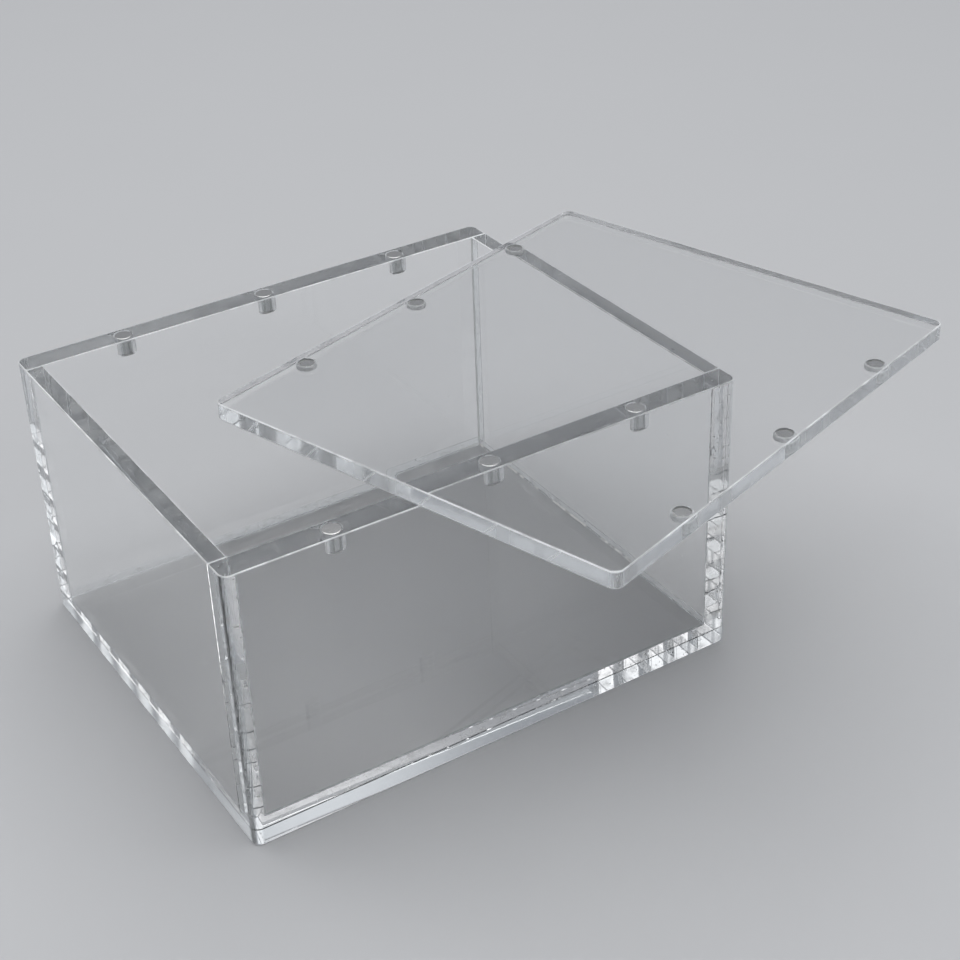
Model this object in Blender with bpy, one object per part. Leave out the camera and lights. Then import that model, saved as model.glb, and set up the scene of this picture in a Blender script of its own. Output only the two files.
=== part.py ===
"""Clear acrylic display case with a loose magnetic lid.

Five flat sheets are cemented edge to face into an open box, and a sixth one lies loose on the
rim as the lid. The two long walls are thick enough to hold three magnets each, in blind holes
drilled down from the rim. The lid has a pocket under each place where a rim magnet comes when
the case is closed. The lid is shown as it is left in use: turned and slid aside on the rim.

Metres, +Z up. The origin is the middle of the case's underside, +X runs along the long walls
and -Y is the front.
"""

from math import radians

import bmesh
import bpy
from mathutils import Matrix, Vector

# Case
CASE_LENGTH = 0.150
CASE_WIDTH = 0.129
CASE_HEIGHT = 0.082  # up to the rim, without the lid
BASE_THICKNESS = 0.0050
SHORT_WALL_THICKNESS = 0.0050
CORNER_RADIUS = 0.0025  # upright outer corners, seen from above
ARRIS = 0.0003  # polished chamfer along the open edges
CEMENT_LINE = 0.0003  # between sheets that are bonded together

# Magnets and their pockets
MAGNET_DIAMETER = 0.0050
RIM_MAGNET_HEIGHT = 0.0050
LID_MAGNET_HEIGHT = 0.0030
MAGNET_EDGE = 0.00025  # rounding of a magnet's rims
MAGNET_PITCH = 0.0445  # from one magnet of a row to the next
MAGNETS_PER_ROW = 3
POCKET_CLEARANCE = 0.0003  # round a magnet and behind it
POCKET_WEB = 0.00095  # acrylic left on each side of a pocket in a long wall
LID_COVER = 0.0014  # acrylic left above a pocket in the lid

# Lid, where it was put down on the rim
LID_SEAT = 0.0003  # between the rim and the lid
LID_SHIFT_X = 0.0468
LID_SHIFT_Y = -0.0367
LID_TURN = radians(17.4)

# Facets
CORNER_STEPS = 8
MAGNET_SIDES = 48
MAGNET_EDGE_STEPS = 2
SMOOTH_LIMIT = radians(30)

CUT_OVERRUN = 0.001  # how far a cutter reaches past the face it enters

# Sizes that follow from the ones above
pocket_radius = MAGNET_DIAMETER / 2 + POCKET_CLEARANCE
long_wall_thickness = 2 * (pocket_radius + POCKET_WEB)
lid_pocket_depth = LID_MAGNET_HEIGHT + POCKET_CLEARANCE
rim_pocket_depth = RIM_MAGNET_HEIGHT + POCKET_CLEARANCE
lid_thickness = lid_pocket_depth + LID_COVER
wall_foot = BASE_THICKNESS + CEMENT_LINE
wall_height = CASE_HEIGHT - wall_foot
short_wall_length = CASE_WIDTH - 2 * (long_wall_thickness + CEMENT_LINE)
magnet_row_y = (CASE_WIDTH - long_wall_thickness) / 2
lid_underside = CASE_HEIGHT + LID_SEAT

ROWS = {"front": -1, "back": 1}
COLUMN_NAMES = {-1: "left", 0: "middle", 1: "right"}


def clear_scene():
    """Remove the objects that the scene starts with."""
    for found in list(bpy.data.objects):
        bpy.data.objects.remove(found, do_unlink=True)


def make_material(name, colour, roughness, metallic=0.0, transmission=0.0, ior=1.5):
    """One Principled material."""
    material = bpy.data.materials.new(name)
    material.use_nodes = True
    shader = material.node_tree.nodes["Principled BSDF"]
    shader.inputs["Base Color"].default_value = (*colour, 1.0)
    shader.inputs["Roughness"].default_value = roughness
    shader.inputs["Metallic"].default_value = metallic
    shader.inputs["Transmission Weight"].default_value = transmission
    shader.inputs["IOR"].default_value = ior
    return material


def make_acrylic(name):
    """Clear cast acrylic, polished on its faces."""
    return make_material(name, (0.94, 0.96, 0.97), 0.04, transmission=1.0, ior=1.49)


def make_nickel(name):
    """Bright nickel plating."""
    return make_material(name, (0.72, 0.72, 0.73), 0.18, metallic=1.0)


def add_object(name, mesh, material, parent, location=(0, 0, 0)):
    """Link one named piece, smooth where it is round."""
    mesh.materials.append(material)
    mesh.shade_smooth()
    mesh.set_sharp_from_angle(angle=SMOOTH_LIMIT)
    piece = bpy.data.objects.new(name, mesh)
    bpy.context.collection.objects.link(piece)
    piece.parent = parent
    piece.location = location
    return piece


def add_empty(name, location, turn=0):
    """A frame that pieces hang on."""
    empty = bpy.data.objects.new(name, None)
    bpy.context.collection.objects.link(empty)
    empty.location = location
    empty.rotation_euler.z = turn
    return empty


def plate_mesh(name, length, width, thickness, rounded, chamfered):
    """A flat sheet standing on z = 0, centred on x and y.

    rounded lists the (x, y) signs of the upright edges that have the corner radius.
    chamfered says, for an edge's middle point, whether that level edge is an open arris.
    """
    bm = bmesh.new()
    bmesh.ops.create_cube(bm, size=1)
    size = Matrix.Diagonal((length, width, thickness, 1))
    lift = Matrix.Translation((0, 0, thickness / 2))
    bmesh.ops.transform(bm, matrix=lift @ size, verts=bm.verts)
    uprights = []
    for edge in bm.edges:
        low, high = (vert.co for vert in edge.verts)
        if abs(low.z - high.z) > thickness / 2:
            signs = (1 if low.x > 0 else -1, 1 if low.y > 0 else -1)
            if signs in rounded:
                uprights.append(edge)
    if uprights:
        bmesh.ops.bevel(
            bm, geom=uprights, offset=CORNER_RADIUS, segments=CORNER_STEPS,
            profile=0.5, affect="EDGES", clamp_overlap=True,
        )
    arrises = []
    for edge in bm.edges:
        low, high = (vert.co for vert in edge.verts)
        if abs(low.z - high.z) < thickness / 2 and chamfered((low + high) / 2):
            arrises.append(edge)
    bmesh.ops.bevel(
        bm, geom=arrises, offset=ARRIS, segments=1,
        profile=0.5, affect="EDGES", clamp_overlap=True,
    )
    mesh = bpy.data.meshes.new(name)
    bm.to_mesh(mesh)
    bm.free()
    return mesh


def magnet_mesh(name, height):
    """A round magnet standing on z = 0, with rounded rims."""
    bm = bmesh.new()
    radius = MAGNET_DIAMETER / 2
    bmesh.ops.create_cone(
        bm, cap_ends=True, segments=MAGNET_SIDES,
        radius1=radius, radius2=radius, depth=height,
    )
    bmesh.ops.translate(bm, vec=(0, 0, height / 2), verts=bm.verts)
    rims = [edge for edge in bm.edges if edge.verts[0].co.z == edge.verts[1].co.z]
    bmesh.ops.bevel(
        bm, geom=rims, offset=MAGNET_EDGE, segments=MAGNET_EDGE_STEPS,
        profile=0.5, affect="EDGES", clamp_overlap=True,
    )
    mesh = bpy.data.meshes.new(name)
    bm.to_mesh(mesh)
    bm.free()
    return mesh


def row_places():
    """Place along the wall and column of each magnet in a row."""
    middle = (MAGNETS_PER_ROW - 1) / 2
    for number in range(MAGNETS_PER_ROW):
        yield (number - middle) * MAGNET_PITCH, number - int(middle)


def pocket_cutter(name, row_y_list, mouth, depth, direction, parent):
    """Round cutters for rows of blind holes that open at z = mouth.

    direction is -1 for holes that go down from the mouth and 1 for holes that go up.
    """
    bm = bmesh.new()
    reach = depth + CUT_OVERRUN
    centre = mouth + direction * (depth - CUT_OVERRUN) / 2
    for row_y in row_y_list:
        for place, _ in row_places():
            made = bmesh.ops.create_cone(
                bm, cap_ends=True, segments=MAGNET_SIDES,
                radius1=pocket_radius, radius2=pocket_radius, depth=reach,
            )
            bmesh.ops.translate(bm, vec=(place, row_y, centre), verts=made["verts"])
    mesh = bpy.data.meshes.new(name)
    bm.to_mesh(mesh)
    bm.free()
    cutter = bpy.data.objects.new(name, mesh)
    bpy.context.collection.objects.link(cutter)
    cutter.parent = parent
    cutter.hide_render = True
    cutter.display_type = "WIRE"
    return cutter


def cut_pockets(piece, cutter):
    """Drill the blind holes into a sheet."""
    drill = piece.modifiers.new("magnet_pockets", "BOOLEAN")
    drill.operation = "DIFFERENCE"
    drill.solver = "EXACT"
    drill.object = cutter


def build_base(case):
    """The floor, under all four walls. Its top edge is bonded, so only the foot is polished."""
    corners = {(-1, -1), (-1, 1), (1, -1), (1, 1)}
    mesh = plate_mesh(
        "base_plate", CASE_LENGTH, CASE_WIDTH, BASE_THICKNESS, corners,
        lambda middle: middle.z < BASE_THICKNESS / 2,
    )
    add_object("base_plate", mesh, make_acrylic("base_acrylic"), case)


def build_long_wall(case, row, side):
    """A long wall runs the whole length and shows its rounded ends at the corners."""
    name = row + "_wall"
    mesh = plate_mesh(
        name, CASE_LENGTH, long_wall_thickness, wall_height, {(-1, side), (1, side)},
        lambda middle: middle.z > wall_height / 2,
    )
    place = Vector((0, side * magnet_row_y, wall_foot))
    wall = add_object(name, mesh, make_acrylic(row + "_wall_acrylic"), case, place)
    cutter = pocket_cutter(name + "_pockets", [0], wall_height, rim_pocket_depth, -1, wall)
    cut_pockets(wall, cutter)


def build_short_wall(case, name, side):
    """A short wall is butted between the long ones, so its upright ends are not polished."""
    mesh = plate_mesh(
        name, SHORT_WALL_THICKNESS, short_wall_length, wall_height, set(),
        lambda middle: middle.z > wall_height / 2 and abs(middle.x) > SHORT_WALL_THICKNESS / 4,
    )
    place = Vector((side * (CASE_LENGTH - SHORT_WALL_THICKNESS) / 2, 0, wall_foot))
    add_object(name, mesh, make_acrylic(name + "_acrylic"), case, place)


def build_lid(lid):
    """The lid has the case's own outline, polished all round, and pockets in its underside."""
    corners = {(-1, -1), (-1, 1), (1, -1), (1, 1)}
    mesh = plate_mesh(
        "lid_plate", CASE_LENGTH, CASE_WIDTH, lid_thickness, corners, lambda middle: True,
    )
    plate = add_object("lid_plate", mesh, make_acrylic("lid_acrylic"), lid)
    rows = [side * magnet_row_y for side in ROWS.values()]
    cut_pockets(plate, pocket_cutter("lid_pockets", rows, 0, lid_pocket_depth, 1, plate))


def build_magnets(kind, height, foot, parent):
    """Two rows of magnets, flush with the face where rim and lid meet."""
    shape = magnet_mesh(kind + "_magnet", height)
    for row, side in ROWS.items():
        for place, column in row_places():
            name = f"{kind}_magnet_{row}_{COLUMN_NAMES.get(column, column)}"
            spot = Vector((place, side * magnet_row_y, foot))
            add_object(name, shape.copy(), make_nickel(name + "_nickel"), parent, spot)


def build_case():
    """The box stands at the origin, and the lid hangs on its own upright axis."""
    clear_scene()
    case = add_empty("case_frame", (0, 0, 0))
    lid = add_empty("lid_axis", (LID_SHIFT_X, LID_SHIFT_Y, lid_underside), LID_TURN)
    build_base(case)
    for row, side in ROWS.items():
        build_long_wall(case, row, side)
    build_short_wall(case, "left_wall", -1)
    build_short_wall(case, "right_wall", 1)
    build_magnets("rim", RIM_MAGNET_HEIGHT, CASE_HEIGHT - RIM_MAGNET_HEIGHT, case)
    build_lid(lid)
    build_magnets("lid", LID_MAGNET_HEIGHT, 0, lid)


build_case()
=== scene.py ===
"""Clear acrylic case with a loose magnetic lid: polished sheets, cement lines, nickel magnets, stage.

Five clear sheets are cemented into an open box. The lid lies turned and slid aside on the rim, and
small magnets in the long walls and in the lid hold it when it is squared up. Everything is in
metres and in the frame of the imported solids, +Z up, with the underside of the case on z = 0.
The finishes alone are measured in millimetres.
"""

from math import atan2, cos, pi, radians, sin

import bmesh
import bpy
from bpy.props import FloatProperty, FloatVectorProperty, IntProperty, PointerProperty
from bpy.types import Operator, Panel, PropertyGroup
from mathutils import Matrix, Vector, noise


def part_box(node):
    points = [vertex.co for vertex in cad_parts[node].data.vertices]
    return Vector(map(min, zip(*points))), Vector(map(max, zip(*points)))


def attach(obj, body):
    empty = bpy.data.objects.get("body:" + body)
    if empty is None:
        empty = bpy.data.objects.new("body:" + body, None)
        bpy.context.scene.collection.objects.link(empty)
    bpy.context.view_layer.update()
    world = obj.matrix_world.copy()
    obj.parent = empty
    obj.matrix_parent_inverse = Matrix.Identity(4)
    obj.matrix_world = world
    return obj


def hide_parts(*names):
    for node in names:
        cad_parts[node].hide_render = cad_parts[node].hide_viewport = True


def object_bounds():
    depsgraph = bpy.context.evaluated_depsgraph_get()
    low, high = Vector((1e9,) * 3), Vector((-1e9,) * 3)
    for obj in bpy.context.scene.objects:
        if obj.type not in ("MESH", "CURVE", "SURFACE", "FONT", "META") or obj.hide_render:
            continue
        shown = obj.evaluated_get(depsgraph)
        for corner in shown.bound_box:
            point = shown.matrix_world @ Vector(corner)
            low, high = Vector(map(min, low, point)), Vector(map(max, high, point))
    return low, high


bl_info = {
    "name": "Acrylic Case",
    "version": (1, 0, 0),
    "blender": (4, 5, 0),
    "location": "View3D > Sidebar > Acrylic Case",
    "description": "Builds a clear acrylic case with a loose magnetic lid on a studio table",
    "category": "Add Mesh",
}

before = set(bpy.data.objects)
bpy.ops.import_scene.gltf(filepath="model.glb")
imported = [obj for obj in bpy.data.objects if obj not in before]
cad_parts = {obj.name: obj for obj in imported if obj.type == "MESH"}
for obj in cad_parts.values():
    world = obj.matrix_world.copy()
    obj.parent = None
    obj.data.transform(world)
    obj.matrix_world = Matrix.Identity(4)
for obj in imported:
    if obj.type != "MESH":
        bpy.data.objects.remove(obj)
cad_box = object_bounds()

MILLIMETRE = 0.001
HAIR = 0.000001  # less than this is no distance at all
COLUMNS = ("left", "middle", "right")
SIDES = {"front": -1, "back": 1}
ENDS = {"left": -1, "right": 1}
ALL_CORNERS = {(-1, -1), (-1, 1), (1, -1), (1, 1)}
ALONG_X, ALONG_Y, ALONG_Z = range(3)

# Places of the finishes in the material lists of a sheet and of a cement joint
POLISHED, SAWN, BUTT, FLOODED, DRILLED, ARRIS, POCKET_END, POCKET_CORNER, WETTED = range(9)
FILM, SEAM, BEAD, LIP = range(4)

# Traces of the cutter on an edge
CUTTER_STEP = 6.2
STEP_TILT = 0.005  # as a slope
STEP_LEAN = 0.04  # sideways over the thickness of the sheet, as a slope
SAW_BITE = 5.0
SAW_SWELL = 0.011
BASE_BITE = 7.0
BASE_SWELL = 0.027
LID_STOP = 18.0
LID_BITE = 9.0
LID_SWELL = 0.010
CORNER_REACH = 2.5  # an end's own finish begins this far from it
WAVES_FADE = (5, 20)  # where the base's long waves die out, along y
FLAMED_FRONT = (-5, 25)  # where the short walls' edges go from flamed smooth to sawn, along y

# Marks in a joint
CRACK_WIDTH = 0.028  # as a share of a cutter step
CRACK_LEAN = 0.05  # as STEP_LEAN
CRACK_WAVER = 0.5
CLEAR_BOND = 53.0  # above this height an upright joint has bonded without a mark
MARKS_END = 2.0  # how far above it the marks fade out
WAVES_END = 3.0  # and the waves in the edge beside them
BACK_FADE = (-10, 10)  # where the marks grow fainter towards the back, along y
WHITE_RIGHT = (60, 66)  # where the bead turns white, along x
WHITE_FADE = (-30, -15)  # and clear again towards the front, along y
BOND_MILK = 0.30  # the most that the milk covers, from 0 to 1
BUBBLE_SPACING = 1.6
BUBBLE_SIZE = 0.13  # as a share of the spacing

# Frost on the walls of the drilled pockets, from 0 for clear to 1 for white
LID_FROST = 1.0
RIM_FROST = 0.2

# Specks and wipe marks on a polished face
SPECK_SPACING = 6.0
SPECK_SIZE = 0.022  # as a share of the spacing
WIPE_SIZE = 28

# Facets and spacing
SMOOTH_LIMIT = radians(35)
MAGNET_EDGE_STEPS = 6
BEAD_STEPS = 5
BEAD_PITCH = 1.5 * MILLIMETRE
BEAD_SWELL = 4 * MILLIMETRE
FILM_STEPS = 48

# Soft boxes: name, heading from +X, rise above the table (both in degrees), distance,
# (width, height), how bright each looks, and the share of it that is feathered
SOFT_BOXES = (
    ("overhead", 90, 82, 1.7, (2.2, 2.2), 1.75, 0.0),
    ("back_left", 119, 37, 1.5, (0.80, 0.90), 0.80, 0.40),
    ("back_right", 52, 44, 1.5, (1.3, 0.42), 0.85, 0.40),
    ("front", 266, 36, 1.5, (2.0, 0.84), 1.08, 0.30),
    ("front_right", 322, 31, 1.5, (0.80, 0.52), 1.30, 0.42),
)
LIGHT_BOUNCES = 40

CAMERA_SPOT = (-0.20598, -0.38938, 0.32156)
CAMERA_TURN = (57.987, 1.822, -32.842)  # degrees, XYZ
CAMERA_LENS = 69.553  # millimetres
CAMERA_SENSOR = 36  # millimetres


def size_of(node):
    """Length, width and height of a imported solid."""
    low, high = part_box(node)
    return high - low


def middle_of(node):
    """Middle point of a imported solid."""
    low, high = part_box(node)
    return (low + high) / 2


base_size = size_of("base_plate")
long_wall_size = size_of("front_wall")
short_wall_size = size_of("left_wall")
inside_x = base_size.x / 2 - short_wall_size.x  # from the middle to the inner face of a short wall
inside_y = base_size.y / 2 - long_wall_size.y
wall_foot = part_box("front_wall")[0].z
rim_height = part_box("front_wall")[1].z
magnet_radius = size_of("rim_magnet_front_middle").x / 2
magnet_row = abs(middle_of("rim_magnet_front_middle").y)
magnet_places = [middle_of(f"rim_magnet_front_{column}").x for column in COLUMNS]
lid_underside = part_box("lid_plate")[0].z
lid_size = Vector((base_size.x, base_size.y, size_of("lid_plate").z))
lid_middle = middle_of("lid_plate")
lid_row = middle_of("lid_magnet_front_right") - middle_of("lid_magnet_front_left")
lid_turn = atan2(lid_row.y, lid_row.x)


class CaseShape(PropertyGroup):
    """Sizes of the fine shape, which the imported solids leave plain."""

    corner_radius: FloatProperty(
        name="Corner radius", description="Rounding of the upright outer corners",
        default=0.0025, subtype="DISTANCE", unit="LENGTH",
    )
    corner_steps: IntProperty(
        name="Corner steps", description="Facets in each rounded corner", default=16, min=4,
    )
    arris: FloatProperty(
        name="Polished arris", description="Rounding along the open edges of a sheet",
        default=0.0003, subtype="DISTANCE", unit="LENGTH",
    )
    arris_steps: IntProperty(
        name="Arris steps", description="Facets across a polished arris", default=4, min=1,
    )
    pocket_clearance: FloatProperty(
        name="Pocket clearance", description="Gap round a magnet and behind it",
        default=0.0003, subtype="DISTANCE", unit="LENGTH",
    )
    pocket_corner: FloatProperty(
        name="Pocket corner", description="Slope round the flat end of a pocket",
        default=0.0005, subtype="DISTANCE", unit="LENGTH",
    )
    pocket_sides: IntProperty(
        name="Pocket sides", description="Facets round a drilled pocket", default=72, min=16,
    )
    magnet_edge: FloatProperty(
        name="Magnet edge", description="Rounding of a magnet's rims",
        default=0.00025, subtype="DISTANCE", unit="LENGTH",
    )
    magnet_sides: IntProperty(
        name="Magnet sides", description="Facets round a magnet", default=96, min=16,
    )
    cement_clearance: FloatProperty(
        name="Cement clearance", description="Hair gap between a cement film and a sheet",
        default=0.00002, subtype="DISTANCE", unit="LENGTH",
    )
    cement_inset: FloatProperty(
        name="Cement inset", description="How far a cement film stops short of the outside",
        default=0.0002, subtype="DISTANCE", unit="LENGTH",
    )
    cement_wetting: FloatProperty(
        name="Cement wetting", description="Width of the white strip beside an upright joint",
        default=0.0004, subtype="DISTANCE", unit="LENGTH",
    )
    cement_bead: FloatProperty(
        name="Cement bead", description="Size of the bead that the cement leaves in a corner",
        default=0.0004, subtype="DISTANCE", unit="LENGTH",
    )


class CaseFinish(PropertyGroup):
    """Colours and clearness of the finishes."""

    refraction: FloatProperty(
        name="Refraction", description="Refractive index of acrylic", default=1.49, min=1, max=2,
    )
    face_tint: FloatVectorProperty(
        name="Face tint", description="What a polished face lets through",
        default=(0.996, 0.999, 1.0), size=3, subtype="COLOR",
    )
    edge_tint: FloatVectorProperty(
        name="Edge tint", description="What a cut and polished edge lets through",
        default=(0.93, 0.965, 0.985), size=3, subtype="COLOR",
    )
    # Colour of frosted acrylic, and of the white painted on the arrises as their highlight lines
    arris_tint: FloatVectorProperty(
        name="Arris tint", description="Colour of scraped and frosted acrylic",
        default=(0.95, 0.965, 0.975), size=3, subtype="COLOR",
    )
    milk_tint: FloatVectorProperty(
        name="Bond tint", description="Colour of the milky places in a bond",
        default=(0.93, 0.93, 0.90), size=3, subtype="COLOR",
    )
    crack_tint: FloatVectorProperty(
        name="Crack tint", description="Colour of the hair cracks in a bond",
        default=(0.10, 0.11, 0.12), size=3, subtype="COLOR",
    )
    seam_tint: FloatVectorProperty(
        name="Seam tint", description="Colour of the hair line where two sheets meet",
        default=(0.07, 0.08, 0.09), size=3, subtype="COLOR",
    )
    dust_tint: FloatVectorProperty(
        name="Dust tint", description="Colour of the specks on a polished face",
        default=(0.8, 0.8, 0.78), size=3, subtype="COLOR",
    )
    nickel_tint: FloatVectorProperty(
        name="Nickel tint", description="Colour of the magnets' plating",
        default=(0.72, 0.715, 0.70), size=3, subtype="COLOR",
    )


class StageLook(PropertyGroup):
    """Table and surround."""

    floor_tint: FloatVectorProperty(
        name="Table tint", description="Colour of the table",
        default=(0.52, 0.525, 0.535), size=3, subtype="COLOR",
    )
    surround_tint: FloatVectorProperty(
        name="Surround tint", description="Colour of the studio round the table",
        default=(0.31, 0.32, 0.34), size=3, subtype="COLOR",
    )
    floor_reach: FloatProperty(
        name="Table reach", description="From the middle of the table to its edge",
        default=3.0, subtype="DISTANCE", unit="LENGTH",
    )
    floor_drop: FloatProperty(
        name="Table drop", description="Hair gap between the table and the case",
        default=0.0002, subtype="DISTANCE", unit="LENGTH",
    )


class Field:
    """A socket with Python's operators, which add Math nodes."""

    def __init__(self, nodes, socket):
        self.nodes = nodes
        self.socket = socket

    def __add__(self, other):
        return self.nodes.math("ADD", self, other)

    __radd__ = __add__

    def __sub__(self, other):
        return self.nodes.math("SUBTRACT", self, other)

    def __rsub__(self, other):
        return self.nodes.math("SUBTRACT", other, self)

    def __mul__(self, other):
        return self.nodes.math("MULTIPLY", self, other)

    __rmul__ = __mul__

    def __abs__(self):
        return self.nodes.math("ABSOLUTE", self)

    def __gt__(self, other):
        return self.nodes.math("GREATER_THAN", self, other)

    def __lt__(self, other):
        return self.nodes.math("LESS_THAN", self, other)


class Nodes:
    """The nodes of one material, lamp or world."""

    def __init__(self, owner, output):
        owner.use_nodes = True
        self.tree = owner.node_tree
        self.tree.nodes.clear()
        self.output = self.tree.nodes.new(output)

    def add(self, kind, settings, sockets, output=0):
        """One node: its settings first, then the values or links of its sockets."""
        node = self.tree.nodes.new(kind)
        for name, value in settings.items():
            setattr(node, name, value)
        for name, value in sockets.items():
            self.plug(node.inputs[name], value)
        return Field(self, node.outputs[output])

    def plug(self, socket, value):
        """Link a field to a socket, or set the socket's own value."""
        if isinstance(value, Field):
            self.tree.links.new(value.socket, socket)
        elif socket.type == "RGBA" and len(value) == 3:
            socket.default_value = (*value, 1)
        else:
            socket.default_value = value

    def finish(self, shader):
        """Put the shader on the surface."""
        self.tree.links.new(shader.socket, self.output.inputs["Surface"])

    def math(self, operation, first, second=0.0):
        """One Math node."""
        return self.add("ShaderNodeMath", {"operation": operation}, {0: first, 1: second})

    def smooth(self, value, low, high):
        """0 below low, 1 above high, and a smooth step between them."""
        settings = {"interpolation_type": "SMOOTHSTEP"}
        sockets = {"Value": value, "From Min": low, "From Max": high}
        return self.add("ShaderNodeMapRange", settings, sockets)

    def fade(self, share, mask):
        """A share of the full strength where the mask is 0, and all of it where it is 1."""
        return share + (1 - share) * mask

    def place(self):
        """Where a point is on its piece, in millimetres."""
        spot = self.add("ShaderNodeTexCoord", {}, {}, "Object")
        return self.add("ShaderNodeVectorMath", {"operation": "SCALE"}, {0: spot, "Scale": 1000})

    def stretch(self, place, factors):
        """A place with each of its axes scaled."""
        return self.add("ShaderNodeVectorMath", {"operation": "MULTIPLY"}, {0: place, 1: factors})

    def parts(self, vector):
        """The three parts of a vector."""
        first = self.add("ShaderNodeSeparateXYZ", {}, {0: vector})
        return [self.beside(first, name) for name in "XYZ"]

    def beside(self, field, output):
        """Another output of the node that a field comes from."""
        return Field(self, field.socket.node.outputs[output])

    def edge_run(self, lies):
        """Millimetres along the edge of a sheet, and across it."""
        spot = self.parts(self.place())
        facing = self.parts(self.add("ShaderNodeTexCoord", {}, {}, "Normal"))
        one, other = (axis for axis in range(3) if axis != lies)
        return spot[one] * abs(facing[other]) + spot[other] * abs(facing[one]), spot[lies]

    def end_face(self, along):
        """1 on the end of a sheet and 0 before it. along is its length, from the middle."""
        end = base_size.x / 2 / MILLIMETRE
        return self.smooth(along, end - CORNER_REACH, end - 0.1)

    def line_cloud(self, run, size, detail=1):
        """Soft noise along a line, from 0 to 1."""
        sockets = {"W": run * (1 / size), "Scale": 1.0, "Detail": detail}
        return self.add("ShaderNodeTexNoise", {"noise_dimensions": "1D"}, sockets)

    def line_cells(self, run, size, feature, output, randomness=0.6):
        """Lengths of about the given size along a line."""
        settings = {"voronoi_dimensions": "1D", "feature": feature}
        sockets = {"W": run * (1 / size), "Scale": 1.0, "Randomness": randomness}
        return self.add("ShaderNodeTexVoronoi", settings, sockets, output)

    def cloud(self, place, size, detail=2):
        """Soft noise from 0 to 1, with spots of the given size in millimetres."""
        sockets = {"Vector": place, "Scale": 1 / size, "Detail": detail}
        return self.add("ShaderNodeTexNoise", {}, sockets)

    def patches(self, size, low, high, detail=2, stretch=None):
        """Patches of the given size: 0 where their cloud is below low, and 1 where above high."""
        place = self.place()
        if stretch:
            place = self.stretch(place, stretch)
        return self.smooth(self.cloud(place, size, detail), low, high)

    def grains(self, spacing, size, missing):
        """1 on small round grains, one in each space but for the share that is missing."""
        sockets = {"Vector": self.place(), "Scale": 1 / spacing, "Randomness": 0.9}
        distance = self.add("ShaderNodeTexVoronoi", {"feature": "F1"}, sockets, "Distance")
        chance = self.red(self.beside(distance, "Color"))
        return (distance < size) * (chance > missing)

    def red(self, colour):
        """The red part of a colour, as a number."""
        return self.add("ShaderNodeSeparateColor", {}, {0: colour})

    def tint(self, factor, first, second):
        """A colour between two others, by the Mix node's colour sockets."""
        settings = {"data_type": "RGBA"}
        return self.add("ShaderNodeMix", settings, {0: factor, 6: first, 7: second}, 2)

    def relief(self, height, depth=MILLIMETRE):
        """The normal of a surface with the given height, counted in depths of so many metres."""
        return self.add("ShaderNodeBump", {}, {"Height": height, "Distance": depth})

    def inside(self):
        """1 where light comes from inside the acrylic, and 0 from outside."""
        return self.add("ShaderNodeNewGeometry", {}, {}, "Backfacing")

    def blend(self, factor, first, second):
        """One shader over another."""
        return self.add("ShaderNodeMixShader", {}, {0: factor, 1: first, 2: second})

    def solid(self, tint, roughness, **sockets):
        """A Principled shader."""
        sockets = {name.replace("_", " "): value for name, value in sockets.items()}
        sockets = {"Base Color": tint, "Roughness": roughness, **sockets}
        return self.add("ShaderNodeBsdfPrincipled", {}, sockets)

    def clear(self, tint, roughness, **sockets):
        """Clear acrylic."""
        refraction = bpy.context.scene.case_finish.refraction
        return self.solid(tint, roughness, IOR=refraction, Transmission_Weight=1.0, **sockets)

    def joined(self):
        """Acrylic that runs on into acrylic: nothing bends or is mirrored there."""
        return self.add("ShaderNodeBsdfTransparent", {}, {"Color": (1, 1, 1)})


# Each finish draws its shader. lies is the axis of its sheet's thickness.

def acrylic_polished_face(nodes, look, lies):
    """Cast acrylic as it comes from the film: clear, with faint wipe marks and a few dust specks."""
    wipes = nodes.patches(WIPE_SIZE, 0.55, 0.8, detail=3, stretch=(1, 0.35, 0.6))
    specks = nodes.grains(SPECK_SPACING, SPECK_SIZE, missing=0.75)
    glass = nodes.clear(look.face_tint, 0.003 + 0.02 * wipes)
    return nodes.blend(specks, glass, nodes.solid(look.dust_tint, 0.8))


def swells(nodes, run, length, depth):
    """How an edge swells and sinks from one bite of the cutter to the next, in millimetres."""
    drift = 0.9 * nodes.line_cloud(run, 2.2 * length)
    wave = nodes.math("SINE", 2 * pi * (run * (1 / length) + drift))
    return depth * wave * (0.5 + nodes.line_cloud(run + 40, 1.6 * length, 0))


def acrylic_sawn_edge(nodes, look, lies):
    """The edge of a base or a wall: flamed clear, with square stops and soft waves left in it.

    The base has no stops. Its right end was cut on another machine and has long, deep waves, and
    both its ends are a little dull.
    """
    run, across = nodes.edge_run(lies)
    x, y, z = nodes.parts(nodes.place())
    rough = 0.004 + 0.015 * nodes.smooth(nodes.line_cloud(run, 5.0, 2), 0.55, 0.8)
    if lies == ALONG_Z:
        right_end, left_end = nodes.end_face(x), nodes.end_face(-1 * x)
        waved = right_end * (1 - nodes.smooth(y, *WAVES_FADE))
        height = swells(nodes, run, BASE_BITE, BASE_SWELL) * nodes.fade(0.1, waved)
        rough = rough + 0.12 * right_end + 0.10 * left_end
    else:
        square = run + STEP_LEAN * across
        colour = nodes.line_cells(square, CUTTER_STEP, "F1", "Color")
        off_stop = square - CUTTER_STEP * nodes.beside(colour, "W")
        tilt = (nodes.red(colour) - 0.5) * off_stop * STEP_TILT
        height = tilt + swells(nodes, run, SAW_BITE, SAW_SWELL)
    if lies == ALONG_Y:
        clear_top = nodes.smooth(z, CLEAR_BOND, CLEAR_BOND + WAVES_END)
        height = height * nodes.fade(0.12, 1 - clear_top)
    elif lies == ALONG_X:
        height = height * nodes.fade(0.15, nodes.smooth(y, *FLAMED_FRONT))
    return nodes.clear(look.edge_tint, rough, Normal=nodes.relief(height))


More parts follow.
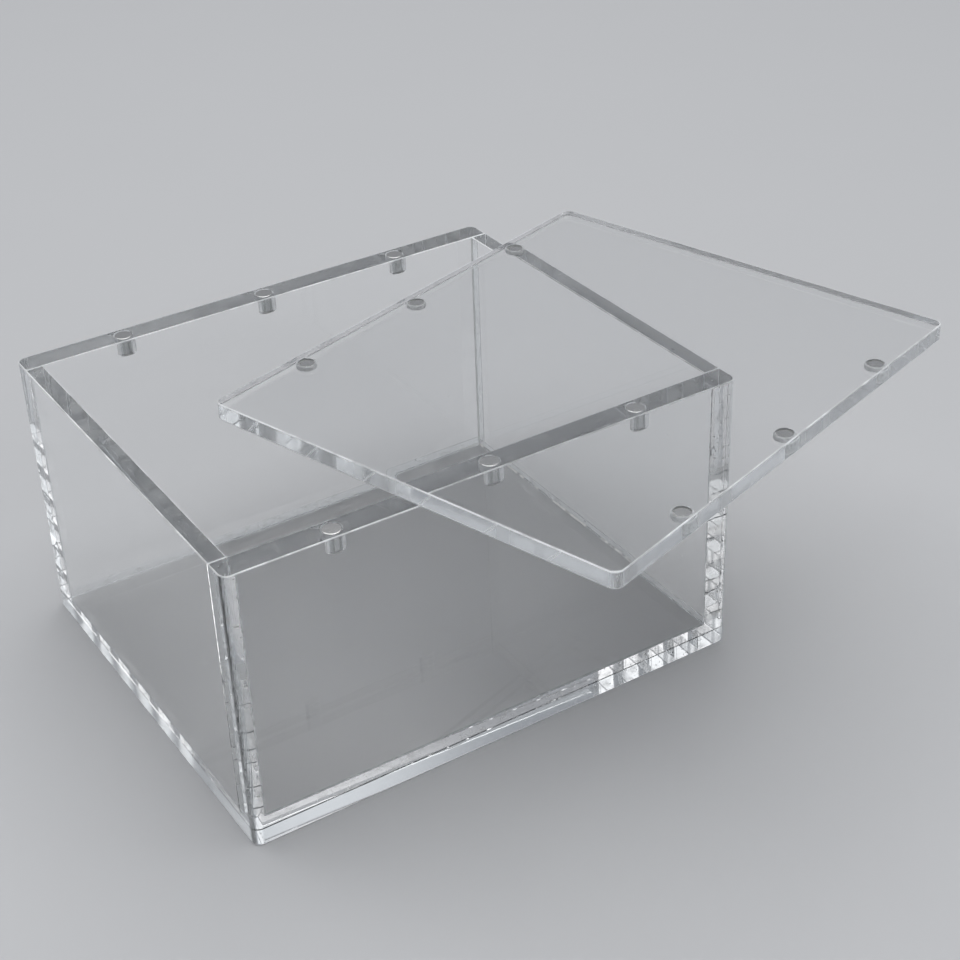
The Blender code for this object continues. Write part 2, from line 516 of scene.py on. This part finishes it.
def acrylic_lid_edge(nodes, look, lies):
    """The lid's edge: silky, with soft waves, and fine slanting lines across the short ends."""
    run, across = nodes.edge_run(lies)
    off_middle = abs(nodes.parts(nodes.place())[ALONG_X])
    ends = nodes.line_cells(run + across, LID_STOP, "DISTANCE_TO_EDGE", "Distance", 0.5)
    lines = nodes.end_face(off_middle) * (1 - nodes.smooth(ends, 0.008, 0.018))
    haze = nodes.smooth(nodes.line_cloud(run, LID_BITE), 0.45, 0.7)
    waves = nodes.relief(swells(nodes, run, LID_BITE, LID_SWELL))
    glass = nodes.clear(look.edge_tint, 0.10 + 0.12 * haze, Normal=waves)
    white = nodes.solid(look.arris_tint, 0.5, Normal=nodes.relief(-0.8 * across))
    cover = (0.16 + 0.12 * haze + 0.72 * lines) * (1 - nodes.inside())
    return nodes.blend(cover, glass, white)


def acrylic_bonded_edge(nodes, look, lies):
    """The butt end of a wall. The cement makes it one with its neighbour, so light goes straight on.

    Only pieces of the cutter's lines stay, dark and hair-thin, with a thin milky cloud over them.
    The joints at the back are clearer than those at the front.
    """
    run, across = nodes.edge_run(lies)
    _, y, z = nodes.parts(nodes.place())
    waver = nodes.line_cloud(across + 9 * nodes.line_cloud(run, 9), 1.8)
    level = run + CRACK_LEAN * across + CRACK_WAVER * waver
    ends = nodes.line_cells(level, CUTTER_STEP, "DISTANCE_TO_EDGE", "Distance", 0.8)
    cracks = (ends < CRACK_WIDTH) * nodes.patches(2.5, 0.40, 0.52, detail=1)
    milky = nodes.fade(0.6, nodes.patches(6.0, 0.35, 0.65))
    milk = nodes.solid(nodes.tint(cracks, look.milk_tint, look.crack_tint), 0.45)
    marked = 1 - nodes.smooth(z, CLEAR_BOND, CLEAR_BOND + MARKS_END)
    marked = marked * nodes.fade(0.15, 1 - nodes.smooth(y, *BACK_FADE))
    cover = nodes.math("MAXIMUM", BOND_MILK * milky, 0.9 * cracks) * marked
    return nodes.blend(cover, nodes.joined(), milk)


def acrylic_bonded_foot(nodes, look, lies):
    """A face flooded with cement, one with its neighbour but for thin clouds and some dry spots."""
    dry = nodes.cloud(nodes.stretch(nodes.place(), (1, 1, 0.5)), 3.5) > 0.74
    through = nodes.blend(dry, nodes.joined(), nodes.clear(look.edge_tint, 0.02))
    clouds = 0.22 * nodes.patches(5.0, 0.5, 0.75, detail=3)
    return nodes.blend(clouds, through, nodes.solid(look.milk_tint, 0.45))


def acrylic_scraped_arris(nodes, look, lies):
    """The narrow arris round an open edge: white is painted over it as a fine highlight line, patchy
    along its length.
    """
    wear_and_highlight_patches = nodes.patches(9.0, 0.38, 0.62, detail=3)
    glass = nodes.clear(look.face_tint, 0.04 + 0.1 * wear_and_highlight_patches)
    # Painted highlight: 45 to 90 per cent white over the clear arris
    return nodes.blend(0.45 + 0.45 * wear_and_highlight_patches, glass, nodes.solid(look.arris_tint, 0.5))


def acrylic_foot_arris(nodes, look, lies):
    """The arris round the foot of the base, painted white as a fine highlight line that shows from
    outside only.
    """
    wear_and_highlight_patches = nodes.patches(9.0, 0.38, 0.62, detail=3)
    # Painted highlight: the white covers the arris only where it is seen from outside the acrylic
    cover = (0.4 + 0.4 * wear_and_highlight_patches) * (1 - nodes.inside())
    return nodes.blend(cover, nodes.clear(look.face_tint, 0.03), nodes.solid(look.arris_tint, 0.5))


def acrylic_wetted_strip(nodes, look, lies):
    """A hair-thin strip beside an upright joint, where cement has run onto the face: white."""
    height = nodes.parts(nodes.place())[ALONG_Z]
    thin = nodes.smooth(nodes.line_cloud(height, 9.0, 2), 0.40, 0.62)
    white = nodes.solid(look.arris_tint, 0.45 + 0.1 * thin)
    return nodes.blend(0.8 - 0.55 * thin, nodes.clear(look.face_tint, 0.02), white)


def acrylic_drilled_wall(nodes, look, lies):
    """The side of a blind hole, frosted by the cutter. The lid's pockets are frosted whiter."""
    rings = nodes.cloud(nodes.stretch(nodes.place(), (0.15, 0.15, 1)), 0.25)
    relief = nodes.relief(rings, 0.02 * MILLIMETRE)
    rough = nodes.patches(1.2, 0.3, 0.55)
    glass = nodes.clear(look.edge_tint, 0.10 + 0.1 * rough, Normal=relief)
    white = nodes.solid(look.arris_tint, 0.5, Normal=relief)
    frost = LID_FROST if lies == ALONG_Z else RIM_FROST
    return nodes.blend(frost * (0.7 + 0.3 * rough), glass, white)


def acrylic_pocket_corner(nodes, look, lies):
    """The slope that the cutter's tip leaves round the end of a blind hole: frosted white."""
    rough = nodes.patches(1.5, 0.35, 0.65)
    white = nodes.solid(look.arris_tint, 0.4 + 0.2 * rough)
    return nodes.blend(0.95 - 0.25 * rough, nodes.clear(look.face_tint, 0.1), white)


def acrylic_pocket_end(nodes, look, lies):
    """The flat end of a blind hole: nearly clear, with a faint haze."""
    return nodes.clear(look.face_tint, 0.02 + 0.05 * nodes.cloud(nodes.place(), 1.0))


def cement_film(nodes, look, lies):
    """The film between two sheets: it can't be seen but for a few small bubbles."""
    bubbles = nodes.grains(BUBBLE_SPACING, BUBBLE_SIZE, missing=0.6)
    return nodes.blend(bubbles, nodes.joined(), nodes.solid(look.milk_tint, 0.5))


def cement_seam(nodes, look, lies):
    """The rim of the film, which is all that shows of a joint from outside: a dark hair line.

    From inside the acrylic the dirt on the rim can't be seen, and light is thrown back as it is
    from the faces above and below.
    """
    wear_and_highlight_patches = nodes.patches(2.5, 0.5, 0.72, detail=3)
    dark = nodes.solid(nodes.tint(0.6 * wear_and_highlight_patches, look.seam_tint, look.milk_tint), 0.25 + 0.3 * wear_and_highlight_patches)
    outside = nodes.blend(0.75 - 0.35 * wear_and_highlight_patches, nodes.joined(), dark)
    return nodes.blend(nodes.inside(), outside, nodes.clear(look.face_tint, 0.01))


def cement_bead(nodes, look, lies):
    """The small bead that is squeezed out inside: clear or cloudy, and white along the right wall."""
    x, y, _ = nodes.parts(nodes.place())
    cloudy = nodes.patches(3.0, 0.5, 0.75, detail=4)
    glass = nodes.clear(look.edge_tint, 0.02 + 0.2 * cloudy)
    streaks = nodes.smooth(nodes.line_cloud(y, 9.0, 2), 0.42, 0.55)
    right_wall = nodes.smooth(x, *WHITE_RIGHT) * nodes.smooth(y, *WHITE_FADE)
    cover = nodes.math("MAXIMUM", 0.4 * cloudy, 0.9 * streaks * right_wall)
    return nodes.blend(cover, glass, nodes.solid(look.milk_tint, 0.5))


def cement_lip(nodes, look, lies):
    """The upper end of an upright film, just below the rim: a fine white line and hook."""
    rough = nodes.patches(1.5, 0.3, 0.6)
    white = nodes.solid(look.arris_tint, 0.4 + 0.2 * rough)
    return nodes.blend(0.9 - 0.3 * rough, nodes.clear(look.face_tint, 0.1), white)


def nickel_plating(nodes, look, lies):
    """Barrel-plated nickel: bright, a little uneven, dull where it has been handled."""
    uneven = nodes.cloud(nodes.place(), 0.9, 3)
    scuffs = nodes.patches(0.5, 0.56, 0.7, detail=3, stretch=(1, 0.2, 0.5))
    dull = nodes.tint(scuffs, look.nickel_tint, [0.8 * part for part in look.nickel_tint])
    relief = nodes.relief(uneven, 0.015 * MILLIMETRE)
    return nodes.solid(dull, 0.1 + 0.16 * scuffs + 0.05 * uneven, Metallic=1.0, Normal=relief)


def pale_table(nodes, look, lies):
    """Smooth pale board."""
    tint = bpy.context.scene.stage_look.floor_tint
    mottle = nodes.cloud(nodes.place(), 60, 3)
    return nodes.solid(nodes.tint(mottle, [0.985 * part for part in tint], tint), 0.6)


SHEET_FINISHES = (
    acrylic_polished_face, acrylic_sawn_edge, acrylic_bonded_edge, acrylic_bonded_foot,
    acrylic_drilled_wall, acrylic_scraped_arris, acrylic_pocket_end, acrylic_pocket_corner,
    acrylic_wetted_strip,
)
CEMENT_FINISHES = (cement_film, cement_seam, cement_bead, cement_lip)


def swapped(place, finish):
    """The finishes of a sheet with another one in one place."""
    return SHEET_FINISHES[:place] + (finish,) + SHEET_FINISHES[place + 1:]


def material_of(draw, lies=ALONG_Z):
    """The material that a function draws, made once for each way in which a sheet lies."""
    name = draw.__name__
    if name.startswith("acrylic"):
        name += "_" + "xyz"[lies]
    material = bpy.data.materials.get(name)
    if material is None:
        material = bpy.data.materials.new(name)
        nodes = Nodes(material, "ShaderNodeOutputMaterial")
        nodes.finish(draw(nodes, bpy.context.scene.case_finish, lies))
    return material


def add_piece(mesh, finishes, lies, body, replaced=None, place=Matrix()):
    """Link one finished piece, smooth where it is round, on its body."""
    for draw in finishes:
        mesh.materials.append(material_of(draw, lies))
    mesh.shade_smooth()
    mesh.set_sharp_from_angle(angle=SMOOTH_LIMIT)
    piece = bpy.data.objects.new(mesh.name, mesh)
    piece.matrix_world = place
    bpy.context.scene.collection.objects.link(piece)
    even = piece.modifiers.new("even_normals", "WEIGHTED_NORMAL")
    even.keep_sharp = True
    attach(piece, body)
    if replaced:
        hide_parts(replaced)


def circle(centre, radius, sides):
    """Points round a circle."""
    turns = [2 * pi * side / sides for side in range(sides)]
    return [centre + radius * Vector((cos(turn), sin(turn))) for turn in turns]


def outline(length, width, radius, rounded, steps, marks=()):
    """Points round a sheet seen from above, counter-clockwise from the right end.

    rounded lists the (x, y) signs of the corners that are round. marks are extra points on the
    straight runs, as (side, place): side is the sign of y, and place is along x.
    """
    points = []
    quarters = ((1, 1), (-1, 1), (-1, -1), (1, -1))
    for quarter, (sign_x, sign_y) in enumerate(quarters):
        corner = Vector((sign_x * length / 2, sign_y * width / 2))
        if (sign_x, sign_y) in rounded and radius > 0:
            centre = corner - radius * Vector((sign_x, sign_y))
            for step in range(steps + 1):
                angle = pi / 2 * (quarter + step / steps)
                points.append(centre + radius * Vector((cos(angle), sin(angle))))
        else:
            points.append(corner)
        if quarter in (0, 2):
            run = [place for side, place in marks if side == sign_y]
            for place in sorted(run, reverse=sign_y > 0):
                points.append(Vector((place, sign_y * width / 2)))
    return points


def close_loop(bm, verts):
    """Edges from each point of a run to the next, and back to the first."""
    for index, vert in enumerate(verts):
        bm.edges.new((vert, verts[(index + 1) % len(verts)]))
    return verts


def add_loop(bm, points, height):
    """A closed run of points at one height, with its edges."""
    return close_loop(bm, [bm.verts.new((point.x, point.y, height)) for point in points])


def join_loops(bm, lower, upper, choose):
    """A band of faces between two runs of the same length."""
    count = len(lower)
    for index in range(count):
        after = (index + 1) % count
        face = bm.faces.new((lower[index], lower[after], upper[after], upper[index]))
        face.material_index = choose(face.calc_center_median())


def join_all(bm, loops, choose):
    """Bands of faces from each run to the next."""
    for lower, upper in zip(loops, loops[1:]):
        join_loops(bm, lower, upper, choose)


def fill_between(bm, loops, finish):
    """A flat face inside the first run, with a hole for each other one."""
    edges = []
    for loop in loops:
        for index, vert in enumerate(loop):
            edges.append(bm.edges.get((vert, loop[(index + 1) % len(loop)])))
    made = bmesh.ops.triangle_fill(bm, use_beauty=True, edges=edges)
    for face in made["geom"]:
        if isinstance(face, bmesh.types.BMFace):
            face.material_index = finish


def finished_mesh(bm, name):
    """The skin as a mesh, with its faces turned outward."""
    bmesh.ops.recalc_face_normals(bm, faces=bm.faces)
    mesh = bpy.data.meshes.new(name)
    bm.to_mesh(mesh)
    bm.free()
    return mesh


def add_pocket(bm, mouth, centre, radius, bottom, sides):
    """A blind hole from its mouth's run of points to its flat bottom, with a sloped corner."""
    corner = bpy.context.scene.case_shape.pocket_corner
    toward_mouth = 1 if mouth[0].co.z > bottom else -1
    wall = add_loop(bm, circle(centre, radius, sides), bottom + toward_mouth * corner)
    foot = add_loop(bm, circle(centre, radius - corner, sides), bottom)
    join_loops(bm, mouth, wall, lambda spot: DRILLED)
    join_loops(bm, wall, foot, lambda spot: POCKET_CORNER)
    fill_between(bm, [foot], POCKET_END)


class Sheet:
    """One flat sheet, with its lower face on z = 0 and its middle on x = y = 0.

    rounded lists the corners that are round, seen from above. arrises says which level edges are
    polished round: 'top', 'bottom', and 'ends' where the arris runs round the short ends too.
    A pocket is its centre, its radius and its depth.
    """

    def __init__(self, size, rounded, arrises, marks=()):
        self.size = size
        self.rounded = rounded
        self.arrises = arrises
        self.marks = marks
        self.side_finish = lambda spot: SAWN
        self.top_finish = SAWN
        self.bottom_finish = FLOODED
        self.top_pockets = []
        self.bottom_pockets = []
        self.bond_ring = None

    def levels(self):
        """Height and inset of each run of points, from the bottom up."""
        shape = bpy.context.scene.case_shape
        arris, steps, thickness = shape.arris, shape.arris_steps, self.size.z
        turns = [pi / 2 * step / steps for step in range(steps + 1)]
        low = [(arris * (1 - sin(turn)), arris * (1 - cos(turn))) for turn in reversed(turns)]
        high = [(thickness - rise, inset) for rise, inset in reversed(low)]
        levels = low if "bottom" in self.arrises else [(0, 0)]
        return levels + (high if "top" in self.arrises else [(thickness, 0)])

    def run(self, inset):
        """The outline, drawn in by an arris."""
        shape = bpy.context.scene.case_shape
        end_inset = inset if "ends" in self.arrises else 0
        length = self.size.x - 2 * end_inset
        width = self.size.y - 2 * inset
        radius = shape.corner_radius - inset
        return outline(length, width, radius, self.rounded, shape.corner_steps, self.marks)

    def mesh(self, name):
        """Sides, arrises, faces and pockets as one closed skin."""
        bm = bmesh.new()
        levels = self.levels()
        loops = [add_loop(bm, self.run(inset), height) for height, inset in levels]
        for step in range(len(levels) - 1):
            on_arris = levels[step][1] != levels[step + 1][1]
            finish = (lambda spot: ARRIS) if on_arris else self.side_finish
            join_loops(bm, loops[step], loops[step + 1], finish)
        self.close(bm, loops[0], 0, self.bottom_finish, self.bottom_pockets)
        self.close(bm, loops[-1], self.size.z, self.top_finish, self.top_pockets)
        return finished_mesh(bm, name)

    def close(self, bm, edge, height, finish, pockets):
        """The lower or upper face, with its pockets, or with a bonded ring round the upper one."""
        if self.bond_ring and height > 0:
            ring = add_loop(bm, outline(*self.bond_ring, 0, set(), 1), height)
            fill_between(bm, [edge, ring], FLOODED)
            fill_between(bm, [ring], finish)
            return
        sides = bpy.context.scene.case_shape.pocket_sides
        mouths = []
        for centre, radius, depth in pockets:
            mouth = add_loop(bm, circle(centre, radius, sides), height)
            bottom = depth if height == 0 else height - depth
            add_pocket(bm, mouth, centre, radius, bottom, sides)
            mouths.append(mouth)
        fill_between(bm, [edge, *mouths], finish)


class CASE_OT_base(Operator):
    """The base plate, which lies under all four walls"""

    bl_idname = "acrylic_case.base"
    bl_label = "Base plate"

    def execute(self, context):
        sheet = Sheet(base_size, ALL_CORNERS, {"bottom", "ends"})
        sheet.top_finish = POLISHED
        sheet.bottom_finish = POLISHED
        sheet.bond_ring = (2 * inside_x, 2 * inside_y)
        mesh = sheet.mesh("finished_base")
        # The base's arris takes the painted highlight line that shows from outside only
        finishes = swapped(ARRIS, acrylic_foot_arris)[:POCKET_END]
        add_piece(mesh, finishes, ALONG_Z, "case", "base_plate")
        return {"FINISHED"}


class CASE_OT_long_walls(Operator):
    """The two long walls, each with three blind holes for magnets in its rim"""

    bl_idname = "acrylic_case.long_walls"
    bl_label = "Long walls"

    def execute(self, context):
        shape = context.scene.case_shape
        radius = magnet_radius + shape.pocket_clearance
        depth = size_of("rim_magnet_front_middle").z + shape.pocket_clearance
        wet_x = inside_x - shape.cement_wetting
        for row, side in SIDES.items():
            inner_y = -side * long_wall_size.y / 2
            marks = [(-side, end * x) for end in ENDS.values() for x in (inside_x, wet_x)]
            sheet = Sheet(long_wall_size, {(-1, side), (1, side)}, {"top", "ends"}, marks)

            def choose(spot, inner_y=inner_y):
                if abs(spot.y - inner_y) > shape.arris / 2:
                    outer_face = abs(spot.y + inner_y) < shape.arris / 2
                    return POLISHED if outer_face else SAWN
                if abs(spot.x) > inside_x:
                    return FLOODED
                return WETTED if abs(spot.x) > wet_x else POLISHED

            sheet.side_finish = choose
            sheet.top_pockets = [(Vector((x, 0)), radius, depth) for x in magnet_places]
            node = row + "_wall"
            mesh = sheet.mesh("finished_" + node)
            mesh.transform(Matrix.Translation((0, side * magnet_row, wall_foot)))
            add_piece(mesh, SHEET_FINISHES, ALONG_Y, "case", node)
        return {"FINISHED"}


class CASE_OT_short_walls(Operator):
    """The two short walls, butted between the long ones"""

    bl_idname = "acrylic_case.short_walls"
    bl_label = "Short walls"

    def execute(self, context):
        lying = Vector((short_wall_size.y, short_wall_size.x, short_wall_size.z))
        butt_x = lying.x / 2 - HAIR
        for end in ENDS:
            sheet = Sheet(lying, set(), {"top"})
            sheet.side_finish = lambda spot: BUTT if abs(spot.x) > butt_x else POLISHED
            node = end + "_wall"
            mesh = sheet.mesh("finished_" + node)
            mesh.transform(Matrix.Rotation(pi / 2, 4, "Z"))
            mesh.transform(Matrix.Translation((middle_of(node).x, 0, wall_foot)))
            add_piece(mesh, SHEET_FINISHES, ALONG_X, "case", node)
        return {"FINISHED"}


class CASE_OT_lid(Operator):
    """The loose lid, turned and slid aside, with six pockets in its underside"""

    bl_idname = "acrylic_case.lid"
    bl_label = "Lid"

    def execute(self, context):
        shape = context.scene.case_shape
        radius = magnet_radius + shape.pocket_clearance
        depth = size_of("lid_magnet_front_middle").z + shape.pocket_clearance
        sheet = Sheet(lid_size, ALL_CORNERS, {"top", "bottom", "ends"})
        sheet.top_finish = POLISHED
        sheet.bottom_finish = POLISHED
        sheet.bottom_pockets = [
            (Vector((x, side * magnet_row)), radius, depth)
            for side in SIDES.values() for x in magnet_places
        ]
        mesh = sheet.mesh("finished_lid")
        seat = Matrix.Translation((lid_middle.x, lid_middle.y, lid_underside))
        place = seat @ Matrix.Rotation(lid_turn, 4, "Z")
        finishes = swapped(SAWN, acrylic_lid_edge)[:WETTED]
        add_piece(mesh, finishes, ALONG_Z, "lid", "lid_plate", place)
        return {"FINISHED"}


def bead_size(seed, run):
    """How big the bead is at a place along a joint."""
    size = bpy.context.scene.case_shape.cement_bead
    return size * (0.75 + 0.45 * noise.noise(Vector((run / BEAD_SWELL, seed, 0))))


def bead_curve(size, start):
    """The hollow face of a bead, from one wall of its corner to the other.

    Each point is its distance from the one wall and from the other. start is where the film ends.
    """
    turns = [pi / 2 * step / BEAD_STEPS for step in range(BEAD_STEPS + 1)]
    return [(start + size * (1 - cos(turn)), start + size * (1 - sin(turn))) for turn in turns]


def inner_run(bm, inset, lift):
    """A closed run of points inside the four walls. inset and lift take the bead's size."""
    corners = [(x * inside_x, y * inside_y) for x, y in ((1, 1), (-1, 1), (-1, -1), (1, -1))]
    verts = []
    travelled = 0.0
    for index, corner in enumerate(corners):
        start, end = Vector(corner), Vector(corners[(index + 1) % len(corners)])
        length = (end - start).length
        count = int(length / BEAD_PITCH)
        for number in range(count):
            spot = start.lerp(end, number / count)
            size = bead_size(0, travelled + length * number / count)
            reach_x, reach_y = inside_x - inset(size), inside_y - inset(size)
            x = max(-reach_x, min(reach_x, spot.x))
            y = max(-reach_y, min(reach_y, spot.y))
            verts.append(bm.verts.new((x, y, lift(size))))
        travelled += length
    return close_loop(bm, verts)


def foot_joint_mesh(name):
    """The film under all four walls, with its bead inside the case."""
    shape = bpy.context.scene.case_shape
    gap, inset = shape.cement_clearance, shape.cement_inset
    low, high = base_size.z + gap, wall_foot - gap
    bm = bmesh.new()
    sizes = (base_size.x - 2 * inset, base_size.y - 2 * inset)
    points = outline(*sizes, shape.corner_radius - inset, ALL_CORNERS, shape.corner_steps)
    outer = [add_loop(bm, points, height) for height in (low, high)]
    join_all(bm, outer, lambda spot: SEAM)
    inner = [inner_run(bm, lambda size: gap, lambda size: high)]
    for step in range(BEAD_STEPS + 1):
        inner.append(inner_run(
            bm, lambda size, step=step: bead_curve(size, gap)[step][0],
            lambda size, step=step: base_size.z + bead_curve(size, gap)[step][1] + high - low,
        ))
    inner.append(inner_run(bm, lambda size: bead_curve(size, gap)[-1][0], lambda size: low))
    join_all(bm, inner, lambda spot: BEAD)
    fill_between(bm, [outer[1], inner[0]], FILM)
    fill_between(bm, [outer[0], inner[-1]], FILM)
    return finished_mesh(bm, name)


def upright_joint_mesh(name, end, side, seed):
    """The film between the end of a short wall and the face of a long one, with its bead inside."""
    shape = bpy.context.scene.case_shape
    gap = shape.cement_clearance
    butt_y = short_wall_size.y / 2 + gap
    face_y = inside_y - gap
    outer_x = base_size.x / 2 - shape.cement_inset
    low = wall_foot + gap
    high = rim_height - shape.cement_inset
    foot_clear = low + 2 * shape.cement_bead
    bm = bmesh.new()
    loops = []
    for number in range(FILM_STEPS + 1):
        height = low + (high - low) * number / FILM_STEPS
        size = bead_size(seed, height) if height > foot_clear else gap
        curve = bead_curve(size, gap)
        section = [(outer_x, face_y), (outer_x, butt_y), (inside_x - gap, butt_y)]
        for away, along in curve:
            film_depth = face_y - butt_y if away < 2 * gap else 0
            section.append((inside_x - away, inside_y - along - film_depth))
        section.append((inside_x - curve[-1][0], face_y))
        points = [Vector((end * x, side * y)) for x, y in section]
        loops.append(add_loop(bm, points, height))

    def choose(spot):
        if abs(spot.x) > outer_x - gap:
            return SEAM
        return FILM if abs(spot.x) > inside_x else BEAD

    join_all(bm, loops, choose)
    bm.faces.new(loops[0]).material_index = FILM
    bm.faces.new(loops[-1]).material_index = LIP
    return finished_mesh(bm, name)


class CASE_OT_cement(Operator):
    """The cement in the joints: a film under all four walls and one at each upright corner"""

    bl_idname = "acrylic_case.cement"
    bl_label = "Cement"

    def execute(self, context):
        joints = [foot_joint_mesh("foot_joint")]
        for number, (end_name, end) in enumerate(ENDS.items()):
            for side_name, side in SIDES.items():
                name = f"{end_name}_{side_name}_joint"
                joints.append(upright_joint_mesh(name, end, side, 3 * number + side))
        for mesh in joints:
            add_piece(mesh, CEMENT_FINISHES, ALONG_Z, "case")
        return {"FINISHED"}


def magnet_mesh(name, radius, height):
    """A round magnet standing on z = 0, its rims rounded as barrel plating leaves them."""
    shape = bpy.context.scene.case_shape
    edge = shape.magnet_edge
    turns = [pi / 2 * step / MAGNET_EDGE_STEPS for step in range(MAGNET_EDGE_STEPS + 1)]
    low = [(radius - edge * (1 - sin(turn)), edge * (1 - cos(turn))) for turn in turns]
    high = [(ring, height - rise) for ring, rise in reversed(low)]
    bm = bmesh.new()
    loops = []
    for ring, rise in low + high:
        loops.append(add_loop(bm, circle(Vector((0, 0)), ring, shape.magnet_sides), rise))
    join_all(bm, loops, lambda spot: 0)
    bm.faces.new(loops[0])
    bm.faces.new(loops[-1])
    return finished_mesh(bm, name)


def add_magnets(kind, body):
    """The six magnets of the rim or of the lid."""
    for row in SIDES:
        for column in COLUMNS:
            node = f"{kind}_magnet_{row}_{column}"
            mesh = magnet_mesh("finished_" + node, magnet_radius, size_of(node).z)
            centre = middle_of(node)
            place = Matrix.Translation((centre.x, centre.y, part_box(node)[0].z))
            add_piece(mesh, (nickel_plating,), ALONG_Z, body, node, place)


class CASE_OT_rim_magnets(Operator):
    """The six magnets in the rims of the long walls"""

    bl_idname = "acrylic_case.rim_magnets"
    bl_label = "Rim magnets"

    def execute(self, context):
        add_magnets("rim", "case")
        return {"FINISHED"}


class CASE_OT_lid_magnets(Operator):
    """The six magnets in the underside of the lid"""

    bl_idname = "acrylic_case.lid_magnets"
    bl_label = "Lid magnets"

    def execute(self, context):
        add_magnets("lid", "lid")
        return {"FINISHED"}


def add_table(context):
    """A flat table under the case."""
    look = context.scene.stage_look
    reach = look.floor_reach
    mesh = bpy.data.meshes.new("table")
    corners = [(-reach, -reach, 0), (reach, -reach, 0), (reach, reach, 0), (-reach, reach, 0)]
    mesh.from_pydata(corners, [], [(0, 1, 2, 3)])
    mesh.materials.append(material_of(pale_table))
    table = bpy.data.objects.new("table", mesh)
    table.location.z = -look.floor_drop
    context.scene.collection.objects.link(table)


def add_surround(context):
    """The even pale studio round the table."""
    world = bpy.data.worlds.new("studio")
    nodes = Nodes(world, "ShaderNodeOutputWorld")
    tint = context.scene.stage_look.surround_tint
    nodes.finish(nodes.add("ShaderNodeBackground", {}, {"Color": tint, "Strength": 1.0}))
    context.scene.world = world


def feather_edge(light, feather):
    """A soft box fades towards its edges, over the given share of its width and height."""
    nodes = Nodes(light, "ShaderNodeOutputLight")
    spread = nodes.parts(nodes.add("ShaderNodeNewGeometry", {}, {}, "Parametric"))
    across, up = (1 - nodes.smooth(abs(part - 0.5), 0.5 - feather, 0.5) for part in spread[:2])
    nodes.finish(nodes.add("ShaderNodeEmission", {}, {"Color": across * up}))


def add_soft_box(context, name, heading, rise, distance, size, radiance, feather):
    """A soft box that faces the case. Its power follows from how bright it looks."""
    width, height = size
    turn, lift = radians(heading), radians(rise)
    toward = Vector((cos(turn) * cos(lift), sin(turn) * cos(lift), sin(lift)))
    light = bpy.data.lights.new(name, "AREA")
    light.shape = "RECTANGLE"
    light.size = width
    light.size_y = height
    light.energy = radiance * pi * width * height
    if feather:
        feather_edge(light, feather)
    lamp = bpy.data.objects.new(name, light)
    lamp.location = (cad_box[0] + cad_box[1]) / 2 + distance * toward
    lamp.rotation_euler = toward.to_track_quat("Z", "Y").to_euler()
    context.scene.collection.objects.link(lamp)


def add_camera(context):
    """The camera, where the photograph was taken from."""
    data = bpy.data.cameras.new("camera")
    data.sensor_width = CAMERA_SENSOR
    data.lens = CAMERA_LENS
    camera = bpy.data.objects.new("camera", data)
    camera.location = CAMERA_SPOT
    camera.rotation_euler = [radians(angle) for angle in CAMERA_TURN]
    context.scene.collection.objects.link(camera)
    context.scene.camera = camera


class CASE_OT_stage(Operator):
    """The pale table, the soft boxes and the camera"""

    bl_idname = "acrylic_case.stage"
    bl_label = "Stage"

    def execute(self, context):
        add_table(context)
        add_surround(context)
        for soft_box in SOFT_BOXES:
            add_soft_box(context, *soft_box)
        add_camera(context)
        context.scene.view_settings.view_transform = "Standard"
        cycles = context.scene.cycles
        for limit in ("max", "transmission", "glossy", "transparent_max"):
            setattr(cycles, limit + "_bounces", LIGHT_BOUNCES)
        cycles.use_denoising = True
        return {"FINISHED"}


OPERATORS = (
    CASE_OT_base, CASE_OT_long_walls, CASE_OT_short_walls, CASE_OT_cement, CASE_OT_lid,
    CASE_OT_rim_magnets, CASE_OT_lid_magnets, CASE_OT_stage,
)
GROUPS = {"case_shape": CaseShape, "case_finish": CaseFinish, "stage_look": StageLook}


class CASE_PT_sidebar(Panel):
    """Lists the pieces of the case and the stage"""

    bl_idname = "CASE_PT_sidebar"
    bl_label = "Acrylic Case"
    bl_space_type = "VIEW_3D"
    bl_region_type = "UI"
    bl_category = "Acrylic Case"

    def draw(self, context):
        for operator in OPERATORS:
            self.layout.operator(operator.bl_idname)


def register():
    for name, group in GROUPS.items():
        bpy.utils.register_class(group)
        setattr(bpy.types.Scene, name, PointerProperty(type=group))
    for operator in OPERATORS:
        bpy.utils.register_class(operator)
    bpy.utils.register_class(CASE_PT_sidebar)


def unregister():
    bpy.utils.unregister_class(CASE_PT_sidebar)
    for operator in reversed(OPERATORS):
        bpy.utils.unregister_class(operator)
    for name, group in GROUPS.items():
        delattr(bpy.types.Scene, name)
        bpy.utils.unregister_class(group)


def main():
    """Build every piece and the stage."""
    register()
    for operator in OPERATORS:
        group, action = operator.bl_idname.split(".")
        getattr(getattr(bpy.ops, group), action)()


if __name__ == "__main__":
    main()
